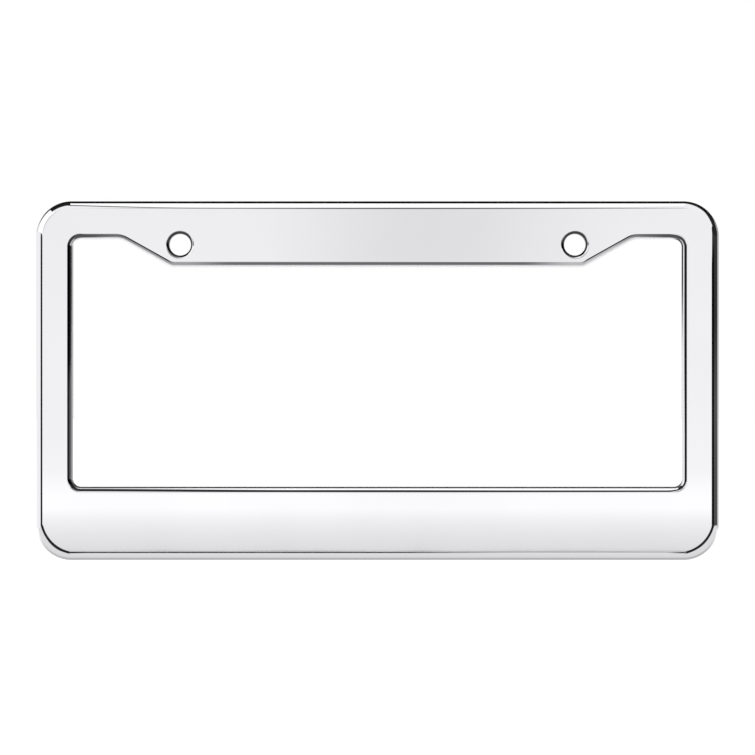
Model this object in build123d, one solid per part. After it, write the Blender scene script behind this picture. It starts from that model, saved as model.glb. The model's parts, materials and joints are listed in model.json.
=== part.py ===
from build123d import *
import os
from math import radians, tan

# Number plate frame, pressed from one sheet and polished. It stands upright as it does on a car:
# X runs across, Z runs up, and the front looks along -Y. The origin lies midway between the two
# screw holes, in the plane where the frame bears on the plate.

# Outline, seen from the front
frame_width = 308.0             # outside of the rim
frame_height = 162.0
corner_radius = 16.0            # outside corners of the rim

# Window that shows the plate, measured to the inside of its lip
side_bar_width = 16.8
top_bar_width = 17.2            # at both ends of the top bar
bottom_bar_width = 33.3
window_corner_radius = 3.4

# Screw tab: the middle of the top bar reaches below the screw holes, with slanted ends
tab_depth = 10.1                # from the hole centres down to its lower edge
tab_overhang = 4.1              # its lower edge goes on this far past the hole centres
tab_slant = 29.2                # degrees from the horizontal
tab_root_radius = 9.0           # where a slant leaves the top bar
tab_tip_radius = 6.0            # where it meets the tab's lower edge

# Sheet and its turned edges; the bend radii are those of the polished side
sheet_thickness = 1.0
rim_depth = 8.5                 # from the front face to the rim's back edge
rim_bend_radius = 3.5
lip_depth = 3.5                 # from the front face to the plate
lip_bend_radius = 2.6
edge_break = 0.2                # chamfer on the deburred back edges of rim and lip

# Screw holes, drawn back into collars that end level with the lip
screw_pitch = 177.8             # standard spacing of plate holes
screw_drop = 19.7               # hole centres below the top of the rim
hole_diameter = 9.7
hole_bend_radius = 1.6

# Heights above the screw holes
rim_top = screw_drop
rim_bottom = rim_top - frame_height
window_top = rim_top - top_bar_width
window_bottom = rim_bottom + bottom_bar_width
tab_bottom = -tab_depth

front = Plane.XZ.offset(lip_depth)
back_of_web = Plane.XZ.offset(lip_depth - sheet_thickness)


def rim_outline():
    """Outside of the rim."""
    middle = Location((0, (rim_top + rim_bottom) / 2))
    return middle * RectangleRounded(frame_width, frame_height, corner_radius)


def window_outline():
    """Inside of the lip: a rectangle whose upper edge steps down round the screw tab."""
    side = frame_width / 2 - side_bar_width
    tab_tip = screw_pitch / 2 + tab_overhang
    tab_root = tab_tip + (window_top - tab_bottom) / tan(radians(tab_slant))
    right_half = [
        (tab_tip, tab_bottom),
        (tab_root, window_top),
        (side, window_top),
        (side, window_bottom),
    ]
    radii = [tab_tip_radius, tab_root_radius, window_corner_radius, window_corner_radius]
    left_half = [(-x, z) for x, z in reversed(right_half)]
    return make_face(
        FilletPolyline(*right_half, *left_half, radius=radii + radii[::-1], close=True)
    )


def screw_holes(radius):
    """A disc of the given radius at each screw hole."""
    return GridLocations(screw_pitch, 0, 2, 1) * Circle(radius)


def front_face(solid):
    return solid.faces().sort_by(Axis.Y)[0]


def front_openings(solid):
    """Borders of the openings in the front face, with the window's last."""
    return front_face(solid).inner_wires().sort_by(SortBy.LENGTH)


def turn_edges(solid, rim_radius, lip_radius, hole_radius):
    """Rounds the front edges along the rim, along the window and at the screw holes."""
    solid = fillet(front_face(solid).outer_wire().edges(), rim_radius)
    solid = fillet(front_openings(solid)[-1].edges(), lip_radius)
    hole_edges = [border.edge() for border in front_openings(solid)[:-1]]
    return fillet(hole_edges, hole_radius)


def polished_side():
    """The blank with its edges turned back, filled solid behind the polished surface."""
    blank = rim_outline() - window_outline() - screw_holes(hole_diameter / 2)
    solid = extrude(front * blank, amount=-rim_depth)
    return turn_edges(solid, rim_bend_radius, lip_bend_radius, hole_bend_radius)


def hollow_side():
    """The space behind the sheet: one thickness inside the rim, the lip and the collars."""
    inside_rim = offset(rim_outline(), -sheet_thickness)
    around_lip = offset(window_outline(), sheet_thickness)
    around_collars = screw_holes(hole_diameter / 2 + sheet_thickness)
    space = extrude(back_of_web * inside_rim, amount=sheet_thickness - rim_depth)
    space -= extrude(back_of_web * (around_lip + around_collars), amount=sheet_thickness - lip_depth)
    return turn_edges(
        space,
        rim_bend_radius - sheet_thickness,
        lip_bend_radius - sheet_thickness,
        hole_bend_radius - sheet_thickness,
    )


def plate_frame():
    """The pressed sheet, with the back edges of its rim and lip deburred."""
    sheet = polished_side() - hollow_side()
    facing_back = sheet.faces().filter_by(lambda face: face.normal_at().Y > 0.999)
    rim_and_lip = facing_back.sort_by(SortBy.AREA)[-3:-1]  # smaller than the web, larger than the collars
    return chamfer(rim_and_lip.edges(), edge_break)


os.makedirs("parts", exist_ok=True)
export_step(plate_frame(), "parts/plate_frame.step")
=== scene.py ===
import json
from math import pi, radians, tan

import bmesh
import bpy
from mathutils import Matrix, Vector


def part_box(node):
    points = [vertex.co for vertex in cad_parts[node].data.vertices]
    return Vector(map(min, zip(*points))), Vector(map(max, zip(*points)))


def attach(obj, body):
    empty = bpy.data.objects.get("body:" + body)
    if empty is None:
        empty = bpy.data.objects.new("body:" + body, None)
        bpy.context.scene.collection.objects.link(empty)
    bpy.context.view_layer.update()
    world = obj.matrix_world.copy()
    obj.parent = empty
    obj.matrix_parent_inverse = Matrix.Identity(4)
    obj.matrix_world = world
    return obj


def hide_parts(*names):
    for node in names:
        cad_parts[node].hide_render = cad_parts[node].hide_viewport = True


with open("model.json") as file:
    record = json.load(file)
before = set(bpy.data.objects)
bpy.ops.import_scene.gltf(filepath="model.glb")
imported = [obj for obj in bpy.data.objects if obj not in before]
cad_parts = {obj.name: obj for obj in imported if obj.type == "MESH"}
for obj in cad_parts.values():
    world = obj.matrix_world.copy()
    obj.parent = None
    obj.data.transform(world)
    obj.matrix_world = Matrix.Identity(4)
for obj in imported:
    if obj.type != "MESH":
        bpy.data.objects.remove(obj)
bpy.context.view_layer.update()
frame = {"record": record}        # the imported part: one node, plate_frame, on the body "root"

mm = 0.001
scene = bpy.context.scene
record = frame["record"]
lowCorner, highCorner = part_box("plate_frame")
screwHoles = next(mount for mount in record["mounts"] if mount["name"] == "plate_screws")["dims"]
middle = (lowCorner + highCorner) / 2      # of the whole frame
print("frame loaded, size in mm:", [round(side / mm, 2) for side in highCorner - lowCorner])


# Small helpers for node trees and stage objects

def addNode(tree, kind, inputs=None, **settings):
    node = tree.nodes.new(kind)
    for name, value in settings.items():
        setattr(node, name, value)
    for socket, value in (inputs or {}).items():
        if isinstance(value, bpy.types.NodeSocket):
            tree.links.new(value, node.inputs[socket])
        else:
            node.inputs[socket].default_value = value
    return node


def mathNode(tree, operation, *values):
    return addNode(tree, "ShaderNodeMath", dict(enumerate(values)), operation=operation).outputs["Value"]


def newGroup(name, kind, inputs, outputs):
    tree = bpy.data.node_groups.new(name, kind)
    for direction, sockets in (("INPUT", inputs), ("OUTPUT", outputs)):
        for label, socketType in sockets.items():
            tree.interface.new_socket(label, in_out=direction, socket_type="NodeSocket" + socketType)
    return tree, tree.nodes.new("NodeGroupInput").outputs, tree.nodes.new("NodeGroupOutput")


def linkObject(name, data):
    made = bpy.data.objects.new(name, data)
    scene.collection.objects.link(made)
    return made


# The frame: sections of the turned edges swept round the rim, the window and the screw holes

plateFrame = {                  # millimetres, seen from the front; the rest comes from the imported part
    "cornerRadius": 16.0,
    "sideBar": 16.8,            # bars are measured to the inside of the lip
    "topBar": 17.2,
    "bottomBar": 33.3,
    "windowRadius": 3.4,
    "tabDepth": 10.1,           # below the hole centres
    "tabOverhang": 4.1,         # sideways past the hole centres
    "tabSlant": 29.2,           # degrees
    "tabRootRadius": 9.0,
    "tabTipRadius": 6.0,
    "sheet": 1.0,
    "rimBend": 3.5,             # bend radii of the polished side
    "lipBend": 2.6,
    "holeBend": 1.6,
    "edgeBreak": 0.2,           # deburred back edges of rim and lip
    "flatMargin": 0.4,          # strip of flat sheet beside each bend, so that flats mirror as flats
    "cornerSteps": 28,
    "holeSteps": 84,            # round a whole hole
    "bendSteps": 18,
    "levelTolerance": 0.05,     # borders as near as this to the web's level are filled
    "weldDistance": 0.002,
    "sharpAngle": 30.0,         # degrees; steeper edges are shaded sharp
}


def drawCurve(name, points, closed):
    # a poly line in the curve's own XY plane; a point's radius is the fillet that it gets
    curve = bpy.data.curves.new(name, "CURVE")
    curve.dimensions = "3D"
    spline = curve.splines.new("POLY")
    spline.points.add(len(points) - 1)
    for point, (x, y, fillet) in zip(spline.points, points):
        point.co = (x * mm, y * mm, 0, 1)
        point.radius = fillet * mm
    spline.use_cyclic_u = closed
    return linkObject(name, curve)


def withMargins(corners, margin):
    # every corner of a closed outline gets a plain point on either side, just past its fillet
    points = []
    for index, (x, y, fillet) in enumerate(corners):
        here = Vector((x, y))
        before = (Vector(corners[index - 1][:2]) - here).normalized()
        after = (Vector(corners[(index + 1) % len(corners)][:2]) - here).normalized()
        reach = fillet / tan(before.angle(after) / 2) + margin
        points += [(*(here + before * reach), 0), (x, y, fillet), (*(here + after * reach), 0)]
    return points


def rimCorners(size):
    left, right = lowCorner.x / mm, highCorner.x / mm
    bottom, top = lowCorner.z / mm, highCorner.z / mm
    clockwise = [(left, top), (right, top), (right, bottom), (left, bottom)]
    return [(x, z, size["cornerRadius"]) for x, z in clockwise]


def windowCorners(size):
    side = highCorner.x / mm - size["sideBar"]
    top = highCorner.z / mm - size["topBar"]
    bottom = lowCorner.z / mm + size["bottomBar"]
    tabTip = screwHoles["spacing_x_mm"] / 2 + size["tabOverhang"]
    tabRoot = tabTip + (top + size["tabDepth"]) / tan(radians(size["tabSlant"]))
    rightHalf = [
        (side, bottom, size["windowRadius"]),
        (side, top, size["windowRadius"]),
        (tabRoot, top, size["tabRootRadius"]),
        (tabTip, -size["tabDepth"], size["tabTipRadius"]),
    ]
    return rightHalf + [(-x, z, fillet) for x, z, fillet in reversed(rightHalf)]


def polishedSection(size, bend, end):
    # from the front web round the bend and down the wall; x is the way into the sheet, y the depth
    front = lowCorner.y / mm
    margin = size["flatMargin"]
    return [(bend + margin, front, 0), (0, front, bend), (0, front + bend + margin, 0), (0, end, 0)]


def hollowSection(size, bend, end, edgeBreak):
    # from the back of the web down the hidden wall and across the cut edge
    webBack = lowCorner.y / mm + size["sheet"]
    inside = size["sheet"]
    margin = size["flatMargin"]
    cutEdge = [(0, end, 0), (inside, end, 0)]
    if edgeBreak:
        cutEdge = [
            (0, end - edgeBreak, 0),
            (edgeBreak, end, 0),
            (inside - edgeBreak, end, 0),
            (inside, end - edgeBreak, 0),
        ]
    hiddenBend = bend - inside
    return [
        (bend + margin, webBack, 0),
        (inside, webBack, hiddenBend),
        (inside, webBack + hiddenBend + margin, 0),
    ] + cutEdge[::-1]


def sweepGroup():
    tree, given, result = newGroup(
        "turnedEdge",
        "GeometryNodeTree",
        {"Path": "Geometry", "Section": "Object", "Mark": "String", "Bend Steps": "Int"},
        {"Mesh": "Geometry"},
    )
    section = addNode(tree, "GeometryNodeObjectInfo", {"Object": given["Section"]}).outputs["Geometry"]
    bent = addNode(
        tree,
        "GeometryNodeFilletCurve",
        {
            "Curve": section,
            "Count": given["Bend Steps"],
            "Radius": addNode(tree, "GeometryNodeInputRadius").outputs["Radius"],
        },
        mode="POLY",
    )
    marked = addNode(           # 0 at the web, 1 at the cut edge
        tree,
        "GeometryNodeStoreNamedAttribute",
        {
            "Geometry": bent.outputs["Curve"],
            "Name": given["Mark"],
            "Value": addNode(tree, "GeometryNodeSplineParameter").outputs["Factor"],
        },
        data_type="FLOAT",
        domain="POINT",
    )
    upright = addNode(tree, "GeometryNodeSetCurveNormal", {"Curve": given["Path"]}, mode="Z_UP")
    evenPath = addNode(
        tree, "GeometryNodeSetCurveRadius", {"Curve": upright.outputs["Curve"], "Radius": 1.0}
    )
    swept = addNode(
        tree,
        "GeometryNodeCurveToMesh",
        {"Curve": evenPath.outputs["Curve"], "Profile Curve": marked.outputs["Geometry"]},
    )
    tree.links.new(swept.outputs["Mesh"], result.inputs["Mesh"])
    return tree


def sheetSideGroup(turnedEdge):
    # one side of the sheet: its three turned edges, and the flat web between them
    tree, given, result = newGroup(
        "sheetSide",
        "GeometryNodeTree",
        {
            "Rim": "Geometry",
            "Window": "Geometry",
            "Holes": "Geometry",
            "Rim Section": "Object",
            "Lip Section": "Object",
            "Collar Section": "Object",
            "Bend Steps": "Int",
            "Web Level": "Float",
            "Level Tolerance": "Float",
        },
        {"Mesh": "Geometry"},
    )
    edges = addNode(tree, "GeometryNodeJoinGeometry")
    for path, section, mark in (
        ("Rim", "Rim Section", "rimTurn"),
        ("Window", "Lip Section", "lipTurn"),
        ("Holes", "Collar Section", "collarTurn"),
    ):
        swept = addNode(
            tree,
            "GeometryNodeGroup",
            {
                "Path": given[path],
                "Section": given[section],
                "Mark": mark,
                "Bend Steps": given["Bend Steps"],
            },
            node_tree=turnedEdge,
        )
        tree.links.new(swept.outputs["Mesh"], edges.inputs[0])

    # the open borders that lie at the web's level are filled to make the web
    neighbours = addNode(tree, "GeometryNodeInputMeshEdgeNeighbors").outputs["Face Count"]
    isBorder = addNode(
        tree, "FunctionNodeCompare", {2: neighbours, 3: 1}, data_type="INT", operation="EQUAL"
    )
    place = addNode(tree, "GeometryNodeInputPosition").outputs["Position"]
    height = addNode(tree, "ShaderNodeSeparateXYZ", {"Vector": place}).outputs["Z"]
    isLevel = addNode(
        tree,
        "FunctionNodeCompare",
        {0: height, 1: given["Web Level"], "Epsilon": given["Level Tolerance"]},
        data_type="FLOAT",
        operation="EQUAL",
    )
    isWebBorder = addNode(
        tree,
        "FunctionNodeBooleanMath",
        {0: isBorder.outputs["Result"], 1: isLevel.outputs["Result"]},
        operation="AND",
    )
    borders = addNode(
        tree,
        "GeometryNodeMeshToCurve",
        {"Mesh": edges.outputs["Geometry"], "Selection": isWebBorder.outputs["Boolean"]},
    )
    web = addNode(tree, "GeometryNodeFillCurve", {"Curve": borders.outputs["Curve"]}, mode="TRIANGLES")
    lift = addNode(tree, "ShaderNodeCombineXYZ", {"Z": given["Web Level"]})
    lifted = addNode(
        tree,
        "GeometryNodeSetPosition",
        {"Geometry": web.outputs["Mesh"], "Offset": lift.outputs["Vector"]},
    )
    side = addNode(tree, "GeometryNodeJoinGeometry")
    tree.links.new(edges.outputs["Geometry"], side.inputs[0])
    tree.links.new(lifted.outputs["Geometry"], side.inputs[0])
    tree.links.new(side.outputs["Geometry"], result.inputs["Mesh"])
    return tree


def pressedFrameTree():
    sides = ("Polished", "Hollow")
    sections = ("Rim Section", "Lip Section", "Collar Section")
    inputs = {
        "Geometry": "Geometry",
        "Rim Outline": "Object",
        "Window Outline": "Object",
        "Screw Pitch": "Float",
        "Hole Radius": "Float",
        "Corner Steps": "Int",
        "Hole Steps": "Int",
        "Bend Steps": "Int",
        "Level Tolerance": "Float",
        "Weld Distance": "Float",
        "Sharp Angle": "Float",
    }
    for side in sides:
        inputs.update({f"{side} {section}": "Object" for section in sections})
        inputs[f"{side} Level"] = "Float"
        inputs[f"{side} Finish"] = "Material"
    tree, given, result = newGroup("pressedFrame", "GeometryNodeTree", inputs, {"Geometry": "Geometry"})

    # outlines with their corners rounded, and one circle for each screw hole
    outlines = {}
    for name in ("Rim", "Window"):
        drawn = addNode(tree, "GeometryNodeObjectInfo", {"Object": given[f"{name} Outline"]})
        rounded = addNode(
            tree,
            "GeometryNodeFilletCurve",
            {
                "Curve": drawn.outputs["Geometry"],
                "Count": given["Corner Steps"],
                "Radius": addNode(tree, "GeometryNodeInputRadius").outputs["Radius"],
            },
            mode="POLY",
        )
        outlines[name] = rounded.outputs["Curve"]
    circle = addNode(
        tree,
        "GeometryNodeCurvePrimitiveCircle",
        {"Resolution": given["Hole Steps"], "Radius": given["Hole Radius"]},
    )
    halfPitchLeft = mathNode(tree, "MULTIPLY", given["Screw Pitch"], -0.5)
    firstHole = addNode(tree, "ShaderNodeCombineXYZ", {"X": halfPitchLeft})
    nextHole = addNode(tree, "ShaderNodeCombineXYZ", {"X": given["Screw Pitch"]})
    centres = addNode(
        tree,
        "GeometryNodeMeshLine",
        {"Count": 2, "Start Location": firstHole.outputs["Vector"], "Offset": nextHole.outputs["Vector"]},
    )
    circles = addNode(
        tree,
        "GeometryNodeInstanceOnPoints",
        {"Points": centres.outputs["Mesh"], "Instance": circle.outputs["Curve"]},
    )
    outlines["Holes"] = addNode(
        tree, "GeometryNodeRealizeInstances", {"Geometry": circles.outputs["Instances"]}
    ).outputs["Geometry"]

    # both sides of the sheet, joined along the cut edges
    sheetSide = sheetSideGroup(sweepGroup())
    whole = addNode(tree, "GeometryNodeJoinGeometry")
    for side in sides:
        sources = {**outlines, "Web Level": given[f"{side} Level"]}
        sources.update({section: given[f"{side} {section}"] for section in sections})
        sources.update({shared: given[shared] for shared in ("Bend Steps", "Level Tolerance")})
        made = addNode(tree, "GeometryNodeGroup", sources, node_tree=sheetSide)
        marked = addNode(
            tree,
            "GeometryNodeStoreNamedAttribute",
            {"Geometry": made.outputs["Mesh"], "Name": "hollowSide", "Value": side == "Hollow"},
            data_type="BOOLEAN",
            domain="FACE",
        )
        tree.links.new(marked.outputs["Geometry"], whole.inputs[0])
    welded = addNode(
        tree,
        "GeometryNodeMergeByDistance",
        {"Geometry": whole.outputs["Geometry"], "Distance": given["Weld Distance"]},
    )
    smooth = addNode(tree, "GeometryNodeSetShadeSmooth", {"Geometry": welded.outputs["Geometry"]})
    edgeAngle = addNode(tree, "GeometryNodeInputMeshEdgeAngle").outputs["Unsigned Angle"]
    isSharp = addNode(
        tree,
        "FunctionNodeCompare",
        {0: edgeAngle, 1: given["Sharp Angle"]},
        data_type="FLOAT",
        operation="GREATER_THAN",
    )
    shaded = addNode(
        tree,
        "GeometryNodeSetShadeSmooth",
        {
            "Geometry": smooth.outputs["Geometry"],
            "Selection": isSharp.outputs["Result"],
            "Shade Smooth": False,
        },
        domain="EDGE",
    )
    # drawn flat up to here: the drawing's Y becomes the frame's Z, and its Z the front
    upright = addNode(
        tree, "GeometryNodeTransform", {"Geometry": shaded.outputs["Geometry"], "Rotation": (pi / 2, 0, 0)}
    )
    real = addNode(tree, "GeometryNodeRealizeInstances", {"Geometry": upright.outputs["Geometry"]})
    polished = addNode(
        tree,
        "GeometryNodeSetMaterial",
        {"Geometry": real.outputs["Geometry"], "Material": given["Polished Finish"]},
    )
    isHollow = addNode(
        tree, "GeometryNodeInputNamedAttribute", {"Name": "hollowSide"}, data_type="BOOLEAN"
    ).outputs["Attribute"]
    finished = addNode(
        tree,
        "GeometryNodeSetMaterial",
        {
            "Geometry": polished.outputs["Geometry"],
            "Selection": isHollow,
            "Material": given["Hollow Finish"],
        },
    )
    tree.links.new(finished.outputs["Geometry"], result.inputs["Geometry"])
    return tree


def makeFrame(size, polishedFinish, hollowFinish):
    lipEnd = 0.0                            # the lip and the collars end in the plane of the origin
    rimEnd = highCorner.y / mm
    edgeBreak = size["edgeBreak"]
    bends = {
        "Rim Section": (size["rimBend"], rimEnd, edgeBreak),
        "Lip Section": (size["lipBend"], lipEnd, edgeBreak),
        "Collar Section": (size["holeBend"], lipEnd, 0),
    }
    drawings = {
        "Rim Outline": drawCurve("rimOutline", withMargins(rimCorners(size), size["flatMargin"]), True),
        "Window Outline": drawCurve(
            "windowOutline", withMargins(windowCorners(size), size["flatMargin"]), True
        ),
    }
    for label, (bend, end, deburr) in bends.items():
        drawings[f"Polished {label}"] = drawCurve(
            "polished" + label.replace(" ", ""), polishedSection(size, bend, end - deburr), False
        )
        drawings[f"Hollow {label}"] = drawCurve(
            "hollow" + label.replace(" ", ""), hollowSection(size, bend, end, deburr), False
        )
    values = {
        **drawings,
        "Screw Pitch": screwHoles["spacing_x_mm"] * mm,
        "Hole Radius": screwHoles["hole_r_mm"] * mm,
        "Corner Steps": size["cornerSteps"],
        "Hole Steps": size["holeSteps"],
        "Bend Steps": size["bendSteps"],
        "Level Tolerance": size["levelTolerance"] * mm,
        "Weld Distance": size["weldDistance"] * mm,
        "Sharp Angle": radians(size["sharpAngle"]),
        "Polished Level": -lowCorner.y,
        "Hollow Level": -lowCorner.y - size["sheet"] * mm,
        "Polished Finish": polishedFinish,
        "Hollow Finish": hollowFinish,
    }
    tree = pressedFrameTree()
    draft = linkObject("frameDraft", bpy.data.meshes.new("frameDraft"))
    modifier = draft.modifiers.new("pressedFrame", "NODES")
    modifier.node_group = tree
    for socket in tree.interface.items_tree:
        if socket.in_out == "INPUT" and socket.name in values:
            modifier[socket.identifier] = values[socket.name]

    depsgraph = bpy.context.evaluated_depsgraph_get()
    mesh = bpy.data.meshes.new_from_object(draft.evaluated_get(depsgraph), depsgraph=depsgraph)
    draft.modifiers.remove(modifier)
    for helper in (draft, *drawings.values()):
        bpy.data.objects.remove(helper)

    shell = bmesh.new()
    shell.from_mesh(mesh)
    bmesh.ops.recalc_face_normals(shell, faces=shell.faces)
    openEdges = sum(not edge.is_manifold for edge in shell.edges)
    volume = shell.calc_volume(signed=True) / mm ** 3
    shell.to_mesh(mesh)
    shell.free()
    mesh.name = "polishedFrame"
    print("frame swept:", len(mesh.polygons), "faces,", openEdges, "open edges,", round(volume), "mm3")
    return linkObject("polishedFrame", mesh)


# Helpers for shader values; limits are in millimetres

def product(tree, *values):
    result = values[0]
    for value in values[1:]:
        result = mathNode(tree, "MULTIPLY", result, value)
    return result


def shifted(tree, value, mask, amount):
    return mathNode(tree, "MULTIPLY_ADD", mask, amount, value)


def mapped(tree, value, fromRange, toRange=(0, 1)):
    inputs = {"Value": value}
    for label, (low, high) in (("From", fromRange), ("To", toRange)):
        inputs[f"{label} Min"] = low
        inputs[f"{label} Max"] = high
    return addNode(tree, "ShaderNodeMapRange", inputs, interpolation_type="SMOOTHSTEP").outputs["Result"]


def mixed(tree, factor, first, second, kind="FLOAT"):
    slots = {"FLOAT": (2, 3, 0), "RGBA": (6, 7, 2)}[kind]       # both inputs, and the output
    inputs = {0: factor}
    for slot, value in zip(slots, (first, second)):
        inputs[slot] = (*value, 1) if isinstance(value, tuple) else value
    return addNode(tree, "ShaderNodeMix", inputs, data_type=kind).outputs[slots[2]]


def tinted(tree, mask, first, second):
    return mixed(tree, mask, first, second, "RGBA")


def inMetres(lengths):
    return tuple(length * mm for length in lengths)


def past(tree, value, limits):
    return mapped(tree, value, inMetres(limits))                # rises from 0 to 1 between them


def until(tree, value, limits):
    return mapped(tree, value, inMetres(limits), (1, 0))        # falls from 1 to 0


def band(tree, value, limits):
    # four limits: begins, full, still full, gone
    return product(tree, past(tree, value, limits[:2]), until(tree, value, limits[2:]))


def lengthOf(tree, x, z):
    apart = addNode(tree, "ShaderNodeCombineXYZ", {"X": x, "Z": z}).outputs["Vector"]
    return addNode(tree, "ShaderNodeVectorMath", {0: apart}, operation="LENGTH").outputs["Value"]


def attribute(tree, name):
    return addNode(tree, "ShaderNodeAttribute", attribute_name=name).outputs["Fac"]


def fromSideEdge(tree, across):
    return mathNode(tree, "SUBTRACT", highCorner.x, mathNode(tree, "ABSOLUTE", across))


# Finishes: mirror polish in front, rolled mill finish on the hidden back and the cut edges

noiseLook = {                            # shared by both finishes
    "spread": (0.3, 0.7),                # most of a noise's values lie between these
    "cloudRoughness": 0.55,
    "lineDetail": 3.0,
    "lineRoughness": 0.6,
    "lineSpread": (0.28, 0.72),
}


def rolledGrainGroup(look):
    # fine lines along X, as rolling and buffing leave them; sizes in metres
    tree, given, result = newGroup(
        "rolledGrain",
        "ShaderNodeTree",
        {"Vector": "Vector", "Line Length": "Float", "Line Width": "Float"},
        {"Grain": "Float"},
    )
    perLine = mathNode(tree, "DIVIDE", 1.0, given["Line Width"])
    perLength = mathNode(tree, "DIVIDE", 1.0, given["Line Length"])
    stretch = addNode(tree, "ShaderNodeCombineXYZ", {"X": perLength, "Y": perLine, "Z": perLine})
    drawn = addNode(
        tree,
        "ShaderNodeVectorMath",
        {0: given["Vector"], 1: stretch.outputs["Vector"]},
        operation="MULTIPLY",
    )
    lines = addNode(
        tree,
        "ShaderNodeTexNoise",
        {
            "Vector": drawn.outputs["Vector"],
            "Scale": 1.0,
            "Detail": look["lineDetail"],
            "Roughness": look["lineRoughness"],
        },
    )
    low, high = look["lineSpread"]
    even = addNode(
        tree, "ShaderNodeMapRange", {"Value": lines.outputs["Fac"], "From Min": low, "From Max": high}
    )
    tree.links.new(even.outputs["Result"], result.inputs["Grain"])
    return tree


def grainLines(tree, rolledGrain, place, length, width):
    lines = addNode(
        tree,
        "ShaderNodeGroup",
        {"Vector": place, "Line Length": length * mm, "Line Width": width * mm},
        node_tree=rolledGrain,
    )
    return lines.outputs["Grain"]


def cloudNoise(tree, place, size, detail):
    clouds = addNode(
        tree,
        "ShaderNodeTexNoise",
        {
            "Vector": place,
            "Scale": 1 / (size * mm),
            "Detail": detail,
            "Roughness": noiseLook["cloudRoughness"],
        },
    )
    return clouds.outputs["Fac"]


def metalMaterial(name):
    material = bpy.data.materials.new(name)
    material.use_nodes = True
    tree = material.node_tree
    shader = tree.nodes["Principled BSDF"]
    shader.inputs["Metallic"].default_value = 1.0
    place = addNode(tree, "ShaderNodeTexCoord").outputs["Object"]
    return material, tree, shader, place


# Painted reflections: dark and pale lines drawn into the colour round the window, in place of the studio's
# dark parts mirrored in the lip
lipLines = {                             # millimetres, or shares of the way round the lip
    "tint": (0.020, 0.020, 0.022),       # painted reflection: a dark line where the face turns into the lip
    "start": (0.130, 0.158),             # where it comes, share of the way round
    "end": (0.285, 0.335),               # and where it goes
    "sideLip": (17.0, 20.0),             # where a side lip gives way to a bar, from the side edges
    "sideEnd": (0.335, 0.385),           # the line is wider there
    "upperTint": (0.175, 0.175, 0.183),  # along the top bar it is wide and paler
    "upperEnd": (0.37, 0.47),
    "upperFrom": (-24.0, -10.3),         # height
    "upperDrop": 20.0,                   # on the side lips that begins so much higher
    "upperCornerTint": (0.100, 0.100, 0.105),    # at both ends of the top bar
    "upperCornerEnd": (0.44, 0.52),
    "upperCornerFades": (22.0, 36.0),    # from the side edges
    "slant": (36.0, 41.0, 59.0, 63.0),   # on the slanted ends of the tab it is thin, from the side edges
    "slantEnd": (0.235, 0.275),
    "slantLean": 0.04,                   # on the right slant it begins that much sooner
    "slantPale": (33.0, 50.0, 66.0, 90.0),       # with a pale line beside it
    "leftSlantTint": (0.42, 0.42, 0.43),
    "rightSlantTint": (0.60, 0.60, 0.61),
    "rightHalf": (-5.0, 5.0),
    "rightLip": (131.0, 135.0),          # on the right lip the lines lie a little further round
    "rightLean": 0.075,
    "leftLip": (-135.0, -131.0),         # on the left lip the line begins sooner
    "leftLean": 0.034,
    "leftLow": (-106.5, -104.5, -70.0, -43.0),   # heights where it fades into a dull lip
    "leftLowEnd": (0.19, 0.70),
    "footLip": (-109.0, -105.0),         # height of the lower lip
    "leftFoot": (-140.0, -32.0),         # its left half, where the line runs a little into the window
    "footLean": (0.048, 0.125),          # start and end of the line
    "lowRightAcross": (-17.0, 82.0),     # at the lower right it ends sooner
    "lowRightBelow": (-90.0, -45.0),     # height
    "lowRightLean": 0.032,
    "innerStart": (0.47, 0.51),          # a second line inside it, at the top of the side lips
    "innerEnd": (0.52, 0.58),
    "innerRightEnd": (0.90, 0.95),
    "innerMiddle": (17.0, 2.0),          # from the side edges, and height
    "innerReach": (5.0, 55.0),           # across and down
    "innerFades": (0.3, 1.0),            # share of that reach
}


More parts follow.
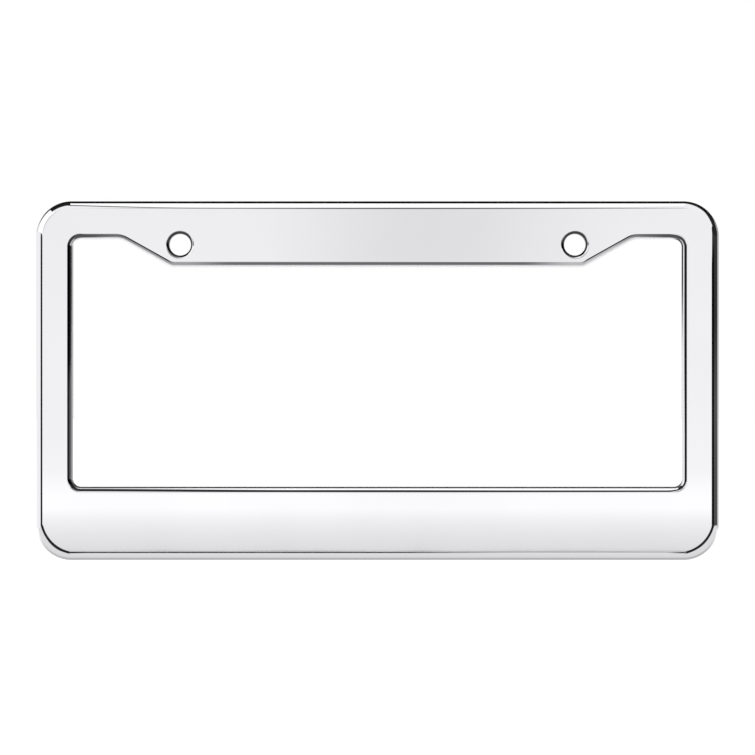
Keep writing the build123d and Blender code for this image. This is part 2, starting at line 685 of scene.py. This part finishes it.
def lipLine(tree, lines, lipTurn, across, height):
    # painted reflection: the dark line round the window, its tint, the line inside it, and where the left
    # lip is dull
    fromSide = fromSideEdge(tree, across)
    isSide = until(tree, fromSide, lines["sideLip"])
    isRight = past(tree, across, lines["rightLip"])
    isRightHalf = past(tree, across, lines["rightHalf"])
    isMiddle = past(tree, fromSide, lines["upperCornerFades"])
    isUpper = past(tree, shifted(tree, height, isSide, -lines["upperDrop"] * mm), lines["upperFrom"])
    isSlant = product(tree, isUpper, band(tree, fromSide, lines["slant"]))
    isLeft = product(
        tree, until(tree, across, lines["leftLip"]), past(tree, height, lines["footLip"])
    )
    isLeftLow = product(tree, isLeft, band(tree, height, lines["leftLow"]))
    isLeftFoot = product(
        tree, until(tree, height, lines["footLip"]), until(tree, across, lines["leftFoot"])
    )
    isLowRight = product(
        tree, past(tree, across, lines["lowRightAcross"]), until(tree, height, lines["lowRightBelow"])
    )

    leaned = shifted(tree, lipTurn, isRight, -lines["rightLean"])
    turn = shifted(tree, leaned, product(tree, isSlant, isRightHalf), lines["slantLean"])
    startLean, endLean = lines["footLean"]
    startTurn = shifted(tree, shifted(tree, turn, isLeft, lines["leftLean"]), isLeftFoot, -startLean)
    endTurn = shifted(tree, shifted(tree, turn, isLowRight, lines["lowRightLean"]), isLeftFoot, -endLean)

    def end(name):
        return mapped(tree, endTurn, lines[name], (1, 0))

    sideEnd = mixed(tree, isLeftLow, end("sideEnd"), end("leftLowEnd"))
    lowerEnd = mixed(tree, isSide, end("end"), sideEnd)
    upperEnd = mixed(tree, isMiddle, end("upperCornerEnd"), end("upperEnd"))
    start = mapped(tree, startTurn, lines["start"])
    line = product(tree, start, mixed(tree, isUpper, lowerEnd, upperEnd))

    slantTint = tinted(tree, isRightHalf, lines["leftSlantTint"], lines["rightSlantTint"])
    tabTint = tinted(tree, band(tree, fromSide, lines["slantPale"]), lines["upperTint"], slantTint)
    upperTint = tinted(tree, isMiddle, lines["upperCornerTint"], tabTint)
    wideTint = tinted(tree, isUpper, lines["tint"], upperTint)
    tint = tinted(tree, product(tree, isSlant, end("slantEnd")), wideTint, lines["tint"])

    beside, above = inMetres(lines["innerMiddle"])
    wide, tall = inMetres(lines["innerReach"])
    apart = lengthOf(
        tree,
        mathNode(tree, "DIVIDE", mathNode(tree, "SUBTRACT", fromSide, beside), wide),
        mathNode(tree, "DIVIDE", mathNode(tree, "SUBTRACT", height, above), tall),
    )
    inner = product(
        tree,
        mapped(tree, turn, lines["innerStart"]),
        mixed(tree, isRight, end("innerEnd"), end("innerRightEnd")),
        mapped(tree, apart, lines["innerFades"], (1, 0)),
    )
    return line, tint, inner, isLeftLow


# Painted reflections: dark lines drawn into the colour round the outer rim
rimLines = {                             # millimetres
    "tint": (0.020, 0.020, 0.022),       # painted reflection: a dark line where the face turns into the rim
    "left": (2.5, 2.7, 2.95, 3.15),      # down the sides, band from the side edge
    "right": (2.5, 2.65, 3.35, 3.55),
    "rightHalf": (-5.0, 5.0),
    "sideTop": (-6.0, 4.0),              # height where both fade
    "sideFoot": (15.5, 16.5),            # and the same above the lower edge
    "cornerInset": (19.05, 19.8),        # centre of the arc round a lower corner, from the edges
    "corner": (15.88, 16.04, 16.96, 17.12),      # band from that centre
    "cornerReach": (3.0, 4.2),           # the arc begins and ends this far beside its centre
    "foot": (3.3, 3.5, 3.9, 4.1),        # along the bottom, band from the lower edge
    "footFades": (15.0, 25.0),           # from the side edges
    "top": (-0.27, -0.12, 0.12, 0.27),   # along the left half of the top
    "topAcross": (-200.0, -70.0),        # it comes away from the upper edge from left to right
    "topDepth": (0.90, 3.35),
    "topStart": (-141.0, -138.0),
    "topFades": (-130.0, -60.0),
}


def rimLine(tree, lines, across, height):
    # painted reflection: the dark line down both sides and round the lower corners, which fades along the
    # bottom, and one along the left half of the top
    fromSide = fromSideEdge(tree, across)
    fromFoot = mathNode(tree, "SUBTRACT", height, lowCorner.z)
    left = band(tree, fromSide, lines["left"])
    right = band(tree, fromSide, lines["right"])
    side = product(
        tree,
        mixed(tree, past(tree, across, lines["rightHalf"]), left, right),
        until(tree, height, lines["sideTop"]),
        past(tree, fromFoot, lines["sideFoot"]),
    )
    insetX, insetZ = inMetres(lines["cornerInset"])
    outward = mathNode(tree, "SUBTRACT", insetX, fromSide)
    downward = mathNode(tree, "SUBTRACT", insetZ, fromFoot)
    corner = product(
        tree,
        band(tree, lengthOf(tree, outward, downward), lines["corner"]),
        past(tree, outward, lines["cornerReach"]),
        past(tree, downward, lines["cornerReach"]),
    )
    foot = product(
        tree,
        band(tree, fromFoot, lines["foot"]),
        until(tree, fromSide, lines["footFades"]),
        until(tree, outward, lines["cornerReach"]),
    )
    depth = mapped(tree, across, inMetres(lines["topAcross"]), inMetres(lines["topDepth"]))
    fromTop = mathNode(tree, "SUBTRACT", highCorner.z, height)
    top = product(
        tree,
        band(tree, mathNode(tree, "SUBTRACT", fromTop, depth), lines["top"]),
        past(tree, across, lines["topStart"]),
        until(tree, across, lines["topFades"]),
    )
    line = side
    for another in (corner, foot, top):
        line = mathNode(tree, "MAXIMUM", line, another)
    return line


collarShade = {                          # painted shade: the drawn edges of the holes are darker
    "tint": (0.070, 0.070, 0.076),
    "roughness": 0.14,
    "start": (0.12, 0.19),               # share of the way round the hole's edge
    "lean": 0.10,                        # and that much later at the lower right of a hole
    "leanSlope": -0.5,                   # the lean's direction: height against the way across
    "leanReach": (0.115, 1.265),         # hole radii from its centre
}


def darkCollar(tree, shade, across, height):
    # painted shade on the drawn edge of a hole; it begins further round the edge at its lower right
    halfPitch = screwHoles["spacing_x_mm"] / 2 * mm
    centre = mathNode(tree, "MULTIPLY", mathNode(tree, "SIGN", across), halfPitch)
    aside = mathNode(tree, "SUBTRACT", across, centre)
    slope = shifted(tree, aside, height, shade["leanSlope"])
    reach = inMetres(radii * screwHoles["hole_r_mm"] for radii in shade["leanReach"])
    lean = mapped(tree, slope, reach, (0, -shade["lean"]))
    return mapped(tree, mathNode(tree, "ADD", attribute(tree, "collarTurn"), lean), shade["start"])


mirrorFinish = {
    "tint": (0.866, 0.862, 0.882),
    "hazeTint": (0.850, 0.848, 0.868),   # where the polish is a little duller
    "hazeSize": 60.0,                    # millimetres
    "hazeDetail": 3.0,
    "roughness": (0.012, 0.024),
    "buffLength": 45.0,                  # buffing lines, millimetres
    "buffWidth": 0.4,
    "buffShare": 0.35,                   # of the roughness; the haze gives the rest
    "rippleSize": 26.0,                  # the sheet isn't quite flat after pressing
    "rippleDetail": 0.0,
    "rippleHeight": 0.0010,
    "rimThins": (0.72, 1.0),             # share of the way round the rim where the plating thins
    "rimRoughness": 0.16,
    "lipThins": (0.42, 0.60),            # the same round the lip
    "leftLowThins": (0.15, 0.25),        # and low on the left lip
    "lipRoughness": 0.42,
    "lowerRimShade": (0.44, 0.438, 0.448),        # painted shade on the turned part of the lower rim
    "lowerRimStart": (0.23, 0.29),       # share of the way round the rim
    "lowerRimBelow": (-139.0, -128.0),   # height, millimetres
}


def mirrorMaterial(finish, rolledGrain):
    material, tree, shader, place = metalMaterial("mirrorPolish")
    parts = addNode(tree, "ShaderNodeSeparateXYZ", {"Vector": place}).outputs
    across, height = parts["X"], parts["Z"]
    lipTurn = attribute(tree, "lipTurn")
    rimTurn = attribute(tree, "rimTurn")
    haze = cloudNoise(tree, place, finish["hazeSize"], finish["hazeDetail"])
    buff = grainLines(tree, rolledGrain, place, finish["buffLength"], finish["buffWidth"])

    polish = tinted(tree, mapped(tree, haze, noiseLook["spread"]), finish["tint"], finish["hazeTint"])
    # painted reflections: dark lines round the rim
    lined = tinted(tree, rimLine(tree, rimLines, across, height), polish, rimLines["tint"])
    # painted shade on the turned part of the lower rim
    isLowerRim = product(
        tree,
        mapped(tree, rimTurn, finish["lowerRimStart"]),
        until(tree, height, finish["lowerRimBelow"]),
    )
    lowerRimShaded = tinted(tree, isLowerRim, lined, finish["lowerRimShade"])
    # painted reflections: dark lines round the window
    line, lineTint, inner, isLeftLow = lipLine(tree, lipLines, lipTurn, across, height)
    innerLined = tinted(tree, inner, lowerRimShaded, lipLines["tint"])
    paintedLipLines = tinted(tree, line, innerLined, lineTint)
    # painted shade round the holes
    isCollar = darkCollar(tree, collarShade, across, height)
    colour = tinted(tree, isCollar, paintedLipLines, collarShade["tint"])
    tree.links.new(colour, shader.inputs["Base Color"])

    uneven = mixed(tree, finish["buffShare"], haze, buff)
    dull = mapped(tree, uneven, noiseLook["spread"], finish["roughness"])
    rimDull = mixed(tree, mapped(tree, rimTurn, finish["rimThins"]), dull, finish["rimRoughness"])
    lipThins = mapped(tree, lipTurn, finish["lipThins"])
    leftThins = mapped(tree, lipTurn, finish["leftLowThins"])
    lipDull = mixed(tree, mixed(tree, isLeftLow, lipThins, leftThins), rimDull, finish["lipRoughness"])
    roughness = mixed(tree, isCollar, lipDull, collarShade["roughness"])
    tree.links.new(roughness, shader.inputs["Roughness"])

    ripple = cloudNoise(tree, place, finish["rippleSize"], finish["rippleDetail"])
    bump = addNode(tree, "ShaderNodeBump", {"Height": ripple, "Distance": finish["rippleHeight"] * mm})
    tree.links.new(bump.outputs["Normal"], shader.inputs["Normal"])
    return material


millFinish = {
    "tint": (0.68, 0.685, 0.69),
    "stainTint": (0.60, 0.605, 0.615),
    "stainSize": 22.0,                   # millimetres, as the grain's sizes
    "stainDetail": 5.0,
    "roughness": (0.26, 0.42),
    "grainLength": 16.0,
    "grainWidth": 0.16,
    "grainHeight": 0.003,
}


def millMaterial(finish, rolledGrain):
    material, tree, shader, place = metalMaterial("millBack")
    stains = cloudNoise(tree, place, finish["stainSize"], finish["stainDetail"])
    grain = grainLines(tree, rolledGrain, place, finish["grainLength"], finish["grainWidth"])
    tint = tinted(tree, mapped(tree, stains, noiseLook["spread"]), finish["tint"], finish["stainTint"])
    tree.links.new(tint, shader.inputs["Base Color"])
    tree.links.new(mapped(tree, grain, (0, 1), finish["roughness"]), shader.inputs["Roughness"])
    bump = addNode(tree, "ShaderNodeBump", {"Height": grain, "Distance": finish["grainHeight"] * mm})
    tree.links.new(bump.outputs["Normal"], shader.inputs["Normal"])
    return material


rolledGrain = rolledGrainGroup(noiseLook)
polish = mirrorMaterial(mirrorFinish, rolledGrain)
mill = millMaterial(millFinish, rolledGrain)
print("finishes made:", polish.name, mill.name)

framePiece = makeFrame(plateFrame, polish, mill)
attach(framePiece, "root")
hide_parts("plate_frame")


# Camera: square on, as in the photo

photoView = {
    "distance": 1.2,            # metres from the origin's plane
    "width": 339.7,             # millimetres across the picture, at the front face
    "above": 1.5,               # millimetres over the middle of the frame
}

camera = linkObject("photoCamera", bpy.data.cameras.new("photoCamera"))
eye = middle + Vector((0, 0, photoView["above"] * mm))
eye.y = -photoView["distance"]
camera.location = eye
camera.rotation_euler = (pi / 2, 0, 0)
camera.data.lens = camera.data.sensor_width * (lowCorner.y - eye.y) / (photoView["width"] * mm)
scene.camera = camera
scene.view_settings.view_transform = "Standard"


# Studio: soft cards that only the metal sees, a pale floor and a white surround

# outlines are metres from the middle of the frame, on the plane that "at" gives
studioCards = {
    "frontWall": {
        "at": ("y", -6.0),
        "outline": [(-1.95, -0.470), (1.08, -0.470), (1.08, 0.3), (5.1, 2.0), (-2.2, 2.0)],
        "level": 1.0,
    },
    "ceiling": {
        "at": ("z", 2.0),
        "outline": [(-0.42, -6.0), (0.45, -6.0), (0.45, -0.10), (-0.42, -0.04)],
        "level": 1.25,
    },
    "rightCeiling": {
        "at": ("z", 2.0),
        "outline": [(0.45, -6.0), (5.1, -6.0), (2.0, -1.1), (0.45, -0.10)],
        "level": 1.0,
    },
    "sideCeiling": {
        "at": ("z", 2.0),
        "outline": [(-1.84, -6.0), (-0.42, -6.0), (-0.42, -1.4), (-1.84, -1.8)],
        "level": 1.0,
    },
    "leftCard": {
        "at": ("x", -2.0),
        "outline": [(-6.0, 0.40), (0.7, 0.40), (0.7, 2.2), (-6.0, 2.2)],
        "level": 1.2,
    },
    "lowLeftCard": {
        "at": ("x", -2.0),
        "outline": [(-1.93, -0.3), (3.0, -0.3), (3.0, 0.40), (-1.93, 0.40)],
        "level": 1.0,
    },
}

wallLevels = {                  # up the front wall, metres from the camera's axis: radiance
    -0.470: 0.84,
    -0.427: 0.91,
    -0.386: 1.02,
    -0.355: 1.15,
    -0.318: 1.15,
    -0.25: 1.055,
    -0.06: 1.02,
    0.21: 1.01,
    0.46: 0.99,
    0.60: 1.0,
}

# dim places on the wall: middle and reach in metres; dimmest up to the core, a share of the reach
wallPatches = [
    {"middle": (0.142, 0.36), "reach": (0.55, 1.0), "core": 0.0, "dim": 0.145},
    {"middle": (0.08, 1.25), "reach": (1.0, 0.80), "core": 0.6, "dim": 0.93},
    {"middle": (-1.7, 0.9), "reach": (0.75, 0.7), "core": 0.2, "dim": 0.6},
]


def levelRamp(tree, value, levels):
    low, high = min(levels), max(levels)
    along = addNode(tree, "ShaderNodeMapRange", {"Value": value, "From Min": low, "From Max": high})
    ramp = addNode(tree, "ShaderNodeValToRGB", {"Fac": along.outputs["Result"]})
    stops = ramp.color_ramp.elements
    while len(stops) < len(levels):
        stops.new(0.5)          # anywhere: all are placed below
    for stop, (place, level) in zip(stops, levels.items()):
        stop.position = (place - low) / (high - low)
        stop.color = (level, level, level, 1)
    return ramp.outputs["Color"]


def lightCard(name, card):
    axis, distance = card["at"]
    corners = []
    for first, second in card["outline"]:
        corner = [first, second]
        corner.insert("xyz".index(axis), distance)
        corners.append(Vector(corner) + Vector((middle.x, 0, middle.z)))
    mesh = bpy.data.meshes.new(name)
    mesh.from_pydata(corners, [], [range(len(corners))])
    made = linkObject(name, mesh)
    material = bpy.data.materials.new(name)
    material.use_nodes = True
    tree = material.node_tree
    tree.nodes.remove(tree.nodes["Principled BSDF"])
    glow = addNode(tree, "ShaderNodeEmission", {"Strength": card["level"]})
    tree.links.new(glow.outputs["Emission"], tree.nodes["Material Output"].inputs["Surface"])
    mesh.materials.append(material)
    made.visible_camera = False
    made.visible_diffuse = False
    made.visible_shadow = False
    return tree, glow


def cardPlace(tree, centre):
    # where a point of a card lies, from a chosen centre
    place = addNode(tree, "ShaderNodeTexCoord").outputs["Object"]
    moved = addNode(tree, "ShaderNodeVectorMath", {0: place, 1: centre}, operation="SUBTRACT")
    return moved.outputs["Vector"]


def shadeWall(tree, glow):
    rise = addNode(tree, "ShaderNodeSeparateXYZ", {"Vector": cardPlace(tree, eye)}).outputs["Z"]
    level = levelRamp(tree, rise, wallLevels)
    for patch in wallPatches:
        x, z = patch["middle"]
        wide, tall = patch["reach"]
        offset = cardPlace(tree, eye + Vector((x, 0, z)))
        scaled = addNode(
            tree,
            "ShaderNodeVectorMath",
            {0: offset, 1: (1 / wide, 0, 1 / tall)},
            operation="MULTIPLY",
        )
        apart = addNode(
            tree, "ShaderNodeVectorMath", {0: scaled.outputs["Vector"]}, operation="LENGTH"
        ).outputs["Value"]
        shade = mapped(tree, apart, (patch["core"], 1), (1 - patch["dim"], 1))
        level = addNode(
            tree, "ShaderNodeVectorMath", {0: level, 1: shade}, operation="MULTIPLY"
        ).outputs["Vector"]
    tree.links.new(level, glow.inputs["Color"])


for name, card in studioCards.items():
    tree, glow = lightCard(name, card)
    if name == "frontWall":
        shadeWall(tree, glow)
print("light cards:", len(studioCards))

surround = {
    "seen": 1.0,                # what the camera sees
    "floorLight": 1.5,          # what lights the floor
    # what the metal sees, by the sine of the elevation
    "ahead": {-1.0: 0.78, -0.12: 0.86, -0.105: 0.01, 1.0: 0.01},
    "aheadRight": {-1.0: 0.78, -0.085: 0.86, -0.07: 0.2, 1.0: 0.01},
    "aside": {-1.0: 0.78, -0.09: 0.84, -0.06: 0.02, 1.0: 0.02},
    "asideRight": {-1.0: 0.78, -0.09: 0.84, -0.06: 0.085, -0.01: 0.095, 0.02: 0.035, 0.06: 0.04, 0.1: 0.02},
    "behind": {-1.0: 1.1, -0.15: 1.2, 0.0: 0.95, 0.1: 0.7, 0.2: 0.01, 1.0: 0.01},
    "farBehind": {-1.0: 1.1, -0.15: 1.2, 0.0: 0.95, 0.1: 0.7, 0.3: 0.6, 0.45: 0.01, 1.0: 0.01},
    # where one gives way to the next, by the sideways part of the direction
    "rightHalf": (0.0, 0.06),
    "asideFrom": (0.116, 0.16),
    "farFrom": (0.3, 0.42),
    "behindFrom": (0.0, 0.1),       # backward part
    "rightLag": 0.12,               # on the right the dark reaches further back
    "rightDim": 0.4,                # and the light behind is dimmer near the horizon
    "rightFrom": (0.3, 0.6),
    "rightAbove": (-0.2, -0.1),
}


def makeSurround(levels):
    world = bpy.data.worlds.new("studioSurround")
    scene.world = world
    world.use_nodes = True
    tree = world.node_tree
    direction = addNode(tree, "ShaderNodeTexCoord").outputs["Generated"]
    parts = addNode(tree, "ShaderNodeSeparateXYZ", {"Vector": direction}).outputs

    def blend(value, limits, first, second):
        return tinted(tree, mapped(tree, value, levels[limits]), first, second)

    ramps = {
        name: levelRamp(tree, parts["Z"], levels[name])
        for name in ("ahead", "aheadRight", "aside", "asideRight", "behind", "farBehind")
    }
    sideways = mathNode(tree, "ABSOLUTE", parts["X"])
    ahead = blend(parts["X"], "rightHalf", ramps["ahead"], ramps["aheadRight"])
    aside = blend(parts["X"], "rightHalf", ramps["aside"], ramps["asideRight"])
    front = blend(sideways, "asideFrom", ahead, aside)
    rightDim = product(
        tree,
        mapped(tree, parts["X"], levels["rightFrom"]),
        mapped(tree, parts["Z"], levels["rightAbove"]),
        levels["rightDim"],
    )
    rightShade = mathNode(tree, "SUBTRACT", 1.0, rightDim)
    rear = addNode(
        tree,
        "ShaderNodeVectorMath",
        {0: blend(sideways, "farFrom", ramps["behind"], ramps["farBehind"]), 1: rightShade},
        operation="MULTIPLY",
    ).outputs["Vector"]
    back = shifted(tree, parts["Y"], parts["X"], -levels["rightLag"])
    metalSees = blend(back, "behindFrom", front, rear)
    ray = addNode(tree, "ShaderNodeLightPath").outputs
    lit = tinted(tree, ray["Is Diffuse Ray"], metalSees, (levels["floorLight"],) * 3)
    shown = tinted(tree, ray["Is Camera Ray"], lit, (levels["seen"],) * 3)
    tree.links.new(shown, tree.nodes["Background"].inputs["Color"])


makeSurround(surround)

floorStage = {"size": 12.0, "below": 0.03, "tint": (0.9, 0.9, 0.9)}      # metres; below the frame


def makeFloor(floor):
    half = floor["size"] / 2
    z = lowCorner.z - floor["below"]
    mesh = bpy.data.meshes.new("paleFloor")
    corners = [(-half, -half, z), (half, -half, z), (half, half, z), (-half, half, z)]
    mesh.from_pydata(corners, [], [range(len(corners))])
    made = linkObject("paleFloor", mesh)
    material = bpy.data.materials.new("paleFloor")
    material.use_nodes = True
    tree = material.node_tree
    shader = tree.nodes["Principled BSDF"]
    shader.inputs["Base Color"].default_value = (*floor["tint"], 1)
    shader.inputs["Roughness"].default_value = 1.0
    shader.inputs["Specular IOR Level"].default_value = 0.0
    # clear from below, so that the frame is seen from there too
    fromBelow = addNode(tree, "ShaderNodeNewGeometry").outputs["Backfacing"]
    clear = addNode(tree, "ShaderNodeBsdfTransparent").outputs["BSDF"]
    oneSided = addNode(tree, "ShaderNodeMixShader", {0: fromBelow, 1: shader.outputs["BSDF"], 2: clear})
    tree.links.new(oneSided.outputs["Shader"], tree.nodes["Material Output"].inputs["Surface"])
    mesh.materials.append(material)
    made.visible_glossy = False


makeFloor(floorStage)
print("studio ready")
